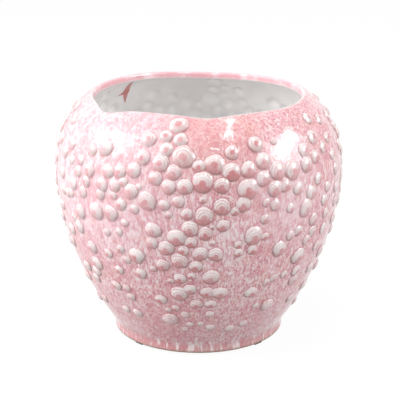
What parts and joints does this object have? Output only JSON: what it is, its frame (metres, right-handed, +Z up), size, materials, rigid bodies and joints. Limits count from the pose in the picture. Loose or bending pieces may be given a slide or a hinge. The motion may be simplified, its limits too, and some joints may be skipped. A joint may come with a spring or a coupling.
{
  "type": "planter",
  "caption": "Round-bellied ceramic planter, open at the top, with a bubbled outside, a swaying hand-trimmed rim and a low foot on small rubber pads.",
  "frame": {"origin": "on the floor, under the middle of the pot", "axes": "+Z up out of the mouth, -Y towards the front, +X to the right as seen from the front"},
  "size_m": [0.3004, 0.2996, 0.2566],
  "materials": {
    "pink_glaze": "gloss",
    "white_glaze": "gloss",
    "bare_clay": "matte",
    "pad_rubber": "matte"
  },
  "bodies": {
    "root": {"pot_body": "pink_glaze", "foot_pad_front_right": "pad_rubber", "foot_pad_back_right": "pad_rubber", "foot_pad_back_left": "pad_rubber", "foot_pad_front_left": "pad_rubber"}
  },
  "joints": []
}
